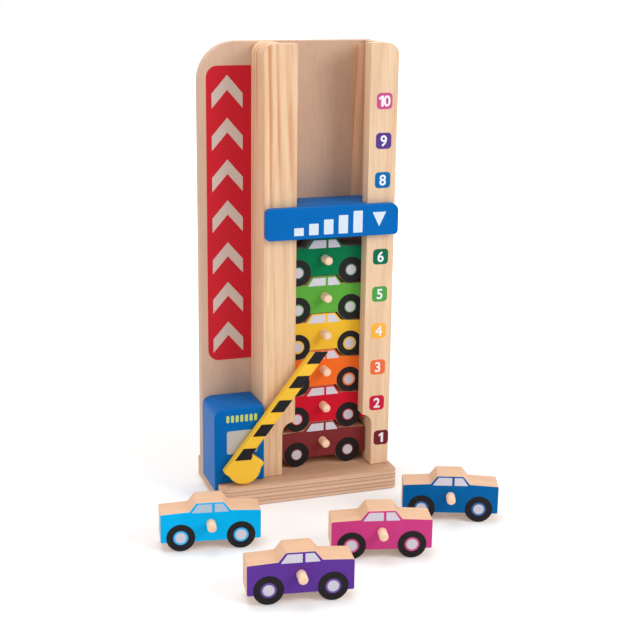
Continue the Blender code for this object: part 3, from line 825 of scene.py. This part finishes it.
def panel_sign():
    """The red printed field on the panel, with plain white arrows whose ink is darkened to a grey-beige as
    painted shade.
    """
    face = PANEL_LOW.y
    right = LEFT_POST_LOW.x + SIGN_LAP
    field = rounded([
        (SIGN_LEFT, SIGN_FOOT, SIGN_CORNER),
        (right, SIGN_FOOT, 0),
        (right, SIGN_TOP, 0),
        (SIGN_LEFT, SIGN_TOP, SIGN_CORNER),
    ], 16)
    printed("sign_red_field", [field], face - INK, face + INK, RED_INK, "tower")
    arrows = [arrow(top) for top in ARROW_TOPS]
    printed("sign_white_arrows", arrows, face - 2 * INK, face, SHADED_SIGN_WHITE, "tower")


def booth_print():
    """The booth's window and the row of plain marks over it."""
    front, back = BOOTH_LOW.y - INK, BOOTH_LOW.y + INK
    printed("booth_window", [box_outline(*BOOTH_WINDOW)], front, back, BOOTH_WINDOW_INK, "tower")
    lefts = np.linspace(*MARK_LEFTS, MARK_COUNT)
    marks = [box_outline(x, x + MARK_WIDTH, MARK_FOOT, MARK_TOP, MARK_CORNER) for x in lefts]
    printed("booth_marks", marks, front, back, TICKET_INK, "tower")


def level_sign():
    """The blue board, its slider, the white bars that rise to the right and the white pointer."""
    low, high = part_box("level_slider")
    block_side = box_outline(low.x, high.x, low.z, high.z, SLIDER_CORNER)
    block = slab(block_side, SLIDER_FRONT, high.y, SLIDER_EDGE)
    neck_side = box_outline(NECK_LEFT, NECK_RIGHT, BOARD_LOW.z, high.z, SLIDER_CORNER)
    neck = slab(neck_side, low.y, SLIDER_FRONT + NECK_LAP, SLIDER_EDGE)
    slider = skin("level_slider_block", [block, neck])
    dress(slider, BLUE, "level_sign", ["level_slider"])
    outline = rounded([
        (BOARD_LOW.x, BOARD_LOW.z, BOARD_FOOT_ROUND),
        (BOARD_HIGH.x, BOARD_LOW.z, BOARD_FOOT_ROUND),
        (BOARD_HIGH.x, BOARD_HIGH.z, BOARD_RIGHT_ROUND),
        (BOARD_LOW.x, BOARD_HIGH.z, BOARD_LEFT_ROUND),
    ])
    plate = skin("level_board_plate", [slab(outline, BOARD_LOW.y, BOARD_HIGH.y, BOARD_EDGE)])
    dress(plate, BLUE, "level_sign", ["level_board"])
    face = BOARD_LOW.y
    lefts = np.linspace(*BAR_LEFTS, BAR_COUNT)
    tops = np.linspace(*BAR_TOPS, BAR_COUNT)
    bars = [box_outline(x, x + BAR_WIDTH, BAR_FOOT, top, BAR_CORNER) for x, top in zip(lefts, tops)]
    marks = bars + [rounded(POINTER, 4)]
    printed("level_board_print", marks, face - INK, face + INK, BOARD_WHITE, "level_sign")


def gate():
    """The striped arm, sawn in one piece with its square foot and round end, and the dowel it turns on.

    The round end is the cosine and sine of its turn about the pivot, between the two places where
    its circle leaves the foot's back and its under side.
    """
    pivot = (PIVOT_LOW + PIVOT_HIGH) / 2
    lean = Matrix.Rotation(-math.radians(GATE_REST_ANGLE), 4, "Y")
    place = Matrix.Translation((pivot.x, 0, pivot.z)) @ lean
    turn = np.linspace(math.acos(-GATE_FOOT_BACK / GATE_ROUND_RADIUS),
                       2 * math.pi - math.asin(GATE_FOOT_SIDE / GATE_ROUND_RADIUS), 60)
    round_end = GATE_ROUND_RADIUS * np.stack([np.cos(turn), np.sin(turn)], 1)
    bar = rounded([
        (*round_end[-1], 0.0),
        (GATE_FOOT_FRONT, -GATE_FOOT_SIDE, GATE_CORNER),
        (GATE_FOOT_FRONT, GATE_LOW_SIDE, GATE_NOTCH_CORNER),
        (GATE_REACH, GATE_LOW_SIDE, GATE_TIP_CORNER),
        (GATE_REACH, GATE_HIGH_SIDE, GATE_CORNER),
        (-GATE_FOOT_BACK, GATE_HIGH_SIDE, GATE_CORNER),
        (*round_end[0], 0.0),
    ])
    outline = distinct(np.concatenate([round_end, bar]))
    arm = skin("gate_arm_bar", [slab(outline, ARM_LOW.y, ARM_HIGH.y, GATE_EDGE)], place)
    dress(arm, YELLOW, "gate", ["gate_arm"])
    smooth_copy("gate_pivot", "gate_pivot_dowel", DOWEL, "gate")
    stripe = np.array([
        (STRIPE_LOW_START, STRIPE_LOW),
        (STRIPE_LOW_START + STRIPE_LENGTH, STRIPE_LOW),
        (STRIPE_HIGH_START + STRIPE_LENGTH, STRIPE_HIGH),
        (STRIPE_HIGH_START, STRIPE_HIGH),
    ])
    stripes = [stripe + [index * STRIPE_PITCH, 0] for index in range(STRIPE_COUNT)]
    stripes[0] = np.concatenate([FIRST_STRIPE_FOOT, stripe[1:]])
    printed("gate_stripes", stripes, ARM_LOW.y - INK, ARM_LOW.y + 2 * INK, BLACK_INK, "gate", place)


def softbox(name, place, size, power):
    """A square area lamp that looks at the toy."""
    lamp = bpy.data.lights.new(name, "AREA")
    lamp.shape = "SQUARE"
    lamp.size = size
    lamp.energy = power
    item = bpy.data.objects.new(name, lamp)
    item.location = place
    item.rotation_euler = (Vector(LAMP_TARGET) - Vector(place)).to_track_quat("-Z", "Y").to_euler()
    bpy.context.scene.collection.objects.link(item)


def white_floor():
    """A white floor that keeps the shadows.

    For the camera and in reflections a glow lifts it to white. It is weak under the toy and full
    from 0.9 m away: the distance from the origin, as a ramp.
    """
    mesh = bpy.data.meshes.new("floor")
    corners = np.array([(-1, -1), (1, -1), (1, 1), (-1, 1)]) * FLOOR_REACH
    mesh.from_pydata(np.insert(corners, 2, FLOOR_HEIGHT, axis=1).tolist(), [], [(0, 1, 2, 3)])
    item = bpy.data.objects.new("floor", mesh)
    bpy.context.scene.collection.objects.link(item)
    finish = Finish("floor_white", 0.9, gloss=0.0)
    finish.shader.inputs["Base Color"].default_value = FLOOR_COLOUR
    finish.shader.inputs["Emission Strength"].default_value = 1.0
    x, y = finish.split(finish.place())[:2]
    away = (x * x + y * y) ** 0.5
    glow = finish.ramp(away, FLOOR_GLOW) * finish.seen()
    finish.feed(finish.shader.inputs["Emission Color"], glow)
    mesh.materials.append(finish.material)


def white_world():
    """A white world, dimmer as a light than it looks."""
    world = bpy.data.worlds.new("studio")
    world.use_nodes = True
    sky = Nodes(world.node_tree)
    background = world.node_tree.nodes["Background"]
    background.inputs["Color"].default_value = (1.0, 1.0, 1.0, 1.0)
    strength = sky.node("MapRange", {}, {"Value": sky.seen(), "To Min": WORLD_LIGHT, "To Max": 1.0})
    sky.feed(background.inputs["Strength"], strength)
    bpy.context.scene.world = world


def photo_camera():
    """The camera, at the place and with the three turns that the photograph was taken with."""
    lens = bpy.data.cameras.new("photo_camera")
    lens.lens = CAMERA_LENS
    lens.sensor_width = CAMERA_SENSOR
    lens.clip_start, lens.clip_end = CAMERA_NEAR, CAMERA_FAR
    forward = Vector((
        math.sin(CAMERA_YAW) * math.cos(CAMERA_PITCH),
        math.cos(CAMERA_YAW) * math.cos(CAMERA_PITCH),
        -math.sin(CAMERA_PITCH),
    ))
    right = Vector((math.cos(CAMERA_YAW), -math.sin(CAMERA_YAW), 0.0))
    up = right.cross(forward)
    side = math.cos(CAMERA_ROLL) * right + math.sin(CAMERA_ROLL) * up
    top = math.cos(CAMERA_ROLL) * up - math.sin(CAMERA_ROLL) * right
    camera = bpy.data.objects.new("photo_camera", lens)
    turn = Matrix((side, top, -forward)).transposed().to_4x4()
    camera.matrix_world = Matrix.Translation(CAMERA_PLACE) @ turn
    bpy.context.scene.collection.objects.link(camera)
    bpy.context.scene.camera = camera


def studio():
    """The world, the lamps, the floor and the camera."""
    bpy.context.scene.view_settings.view_transform = "Standard"
    white_world()
    for name, place, size, power in LAMPS:
        softbox(name, place, size, power)
    white_floor()
    photo_camera()


tower()
rear_guides()
badges()
panel_sign()
booth_print()
level_sign()
gate()
for car_number in CAR_PAINTS:
    car(car_number)
studio()
